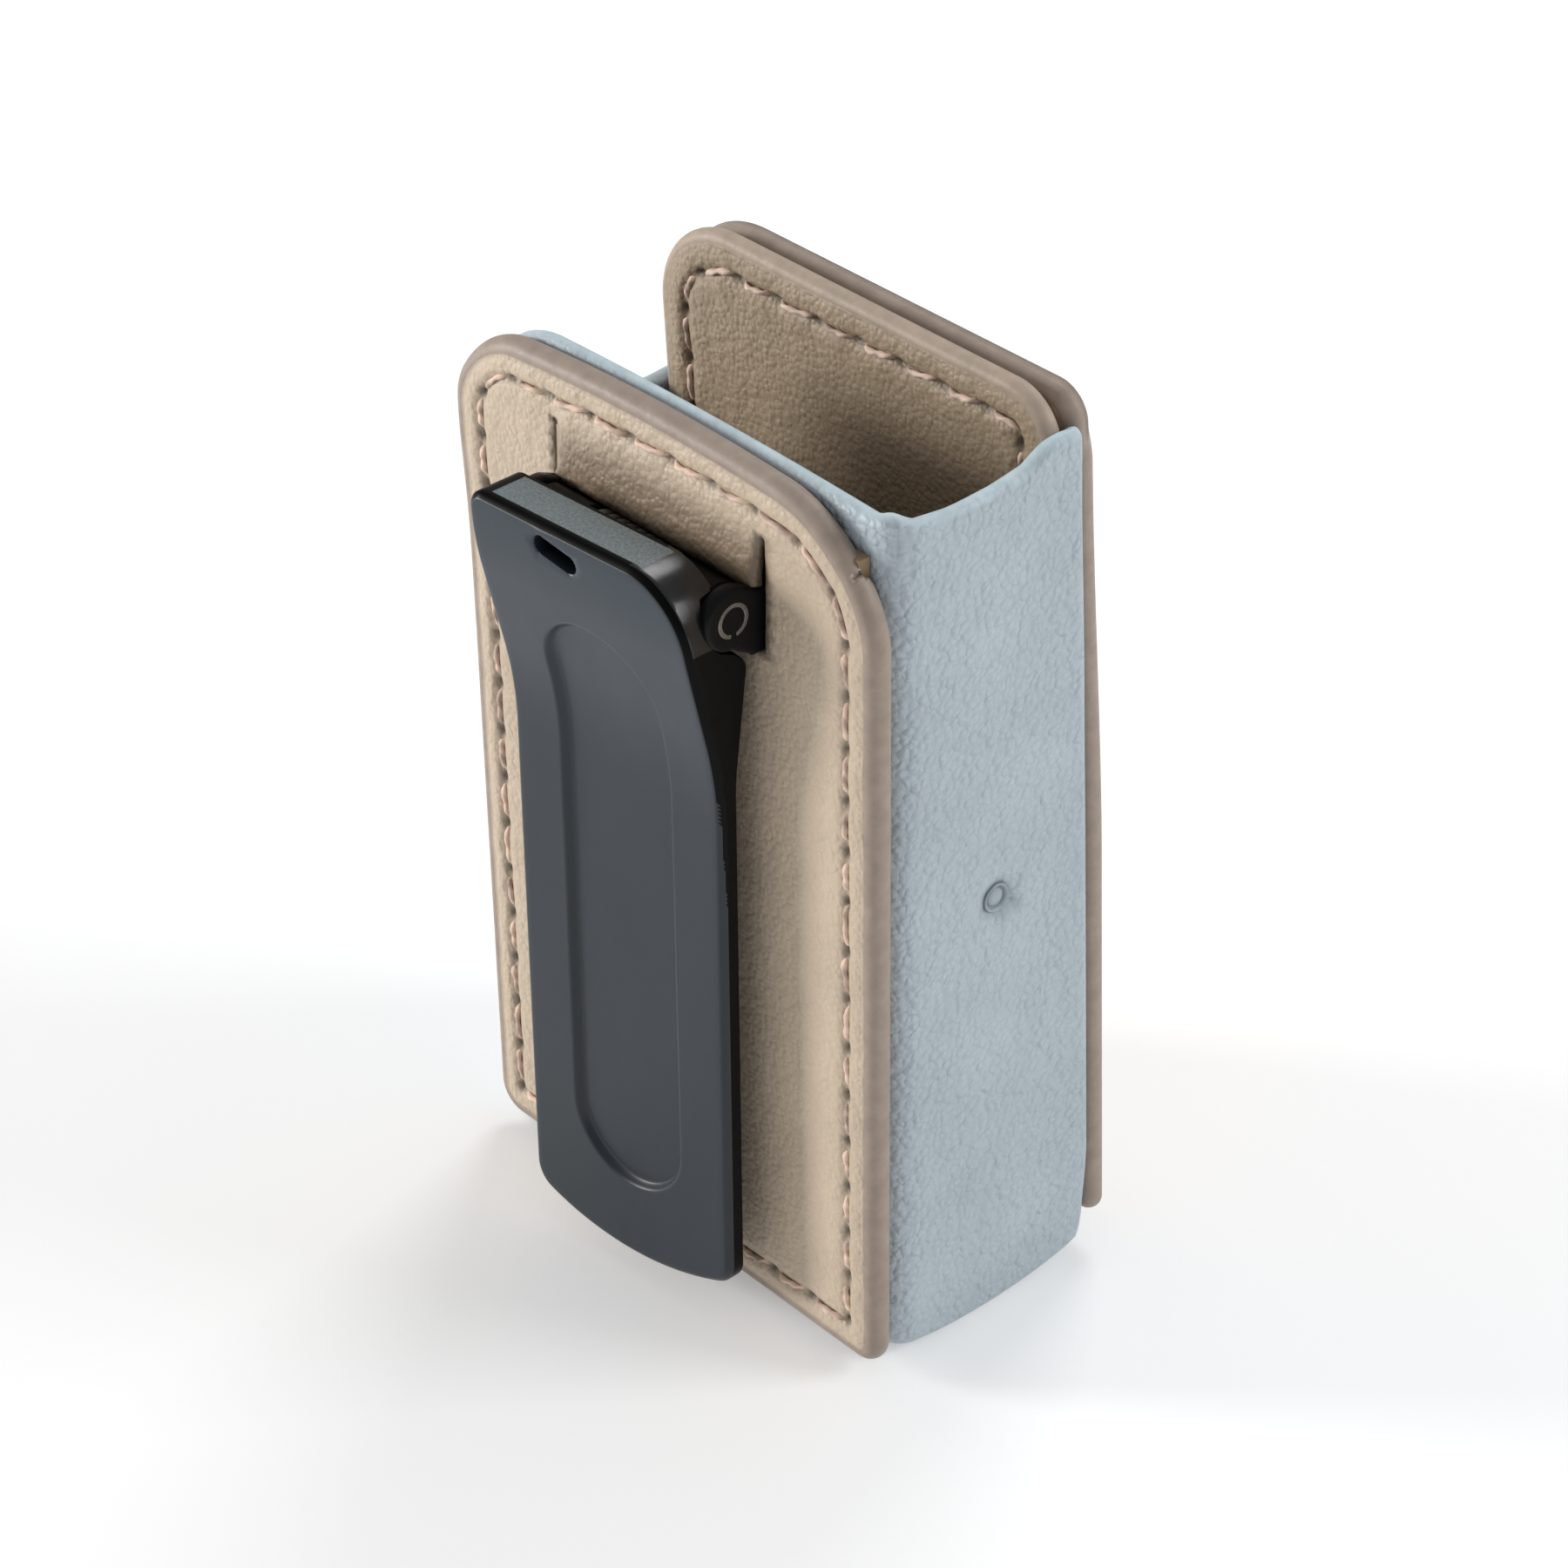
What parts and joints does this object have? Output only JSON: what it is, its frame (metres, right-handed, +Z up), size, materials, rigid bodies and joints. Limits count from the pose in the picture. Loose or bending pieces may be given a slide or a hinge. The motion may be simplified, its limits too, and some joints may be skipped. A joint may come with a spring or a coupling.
{
  "type": "belt clip pouch",
  "caption": "Small open-topped leather pouch with turned-edge panels and a sprung belt clip hinged on its front.",
  "frame": {"origin": "middle of the pouch's underside", "axes": "+Z up to the open mouth, +Y from the clip to the back, +X to the right seen from the clip side"},
  "size_m": [0.0436, 0.0328, 0.075],
  "materials": {
    "beige_leather": "semi-matt pebble grain",
    "taupe_leather": "semi-matt pebble grain",
    "blue_leather": "semi-matt pebble grain",
    "lining": "matt",
    "board": "matt",
    "thread": "twisted thread",
    "painted_rivet": "satin",
    "steel": "satin",
    "black_plastic": "satin moulded",
    "black_satin": "satin moulded"
  },
  "bodies": {
    "pouch": {"front_panel": "beige_leather", "front_board": "board", "front_stitching": "thread", "sleeve": "blue_leather", "sleeve_lining": "lining", "bottom_panel": "blue_leather", "bottom_board": "board", "inner_back_panel": "taupe_leather", "inner_back_board": "board", "inner_back_stitching": "thread", "outer_back_panel": "beige_leather", "outer_back_board": "board", "outer_back_stitching": "thread", "side_rivets": "painted_rivet", "rivet_washers": "steel", "clip_base": "black_plastic", "pivot_pin": "steel", "torsion_spring": "steel"},
    "lever": {"clip_lever": "black_satin"}
  },
  "joints": [
    {"name": "lever_hinge", "type": "hinge", "parent": "pouch", "child": "lever", "pos_m": [0, -0.01516, 0.062], "axis": [-1, 0, 0], "range_deg": [0, 28], "stiffness_Nm_per_rad": 0.2, "springref_deg": -20.05, "deforming": ["torsion_spring"]}
  ]
}
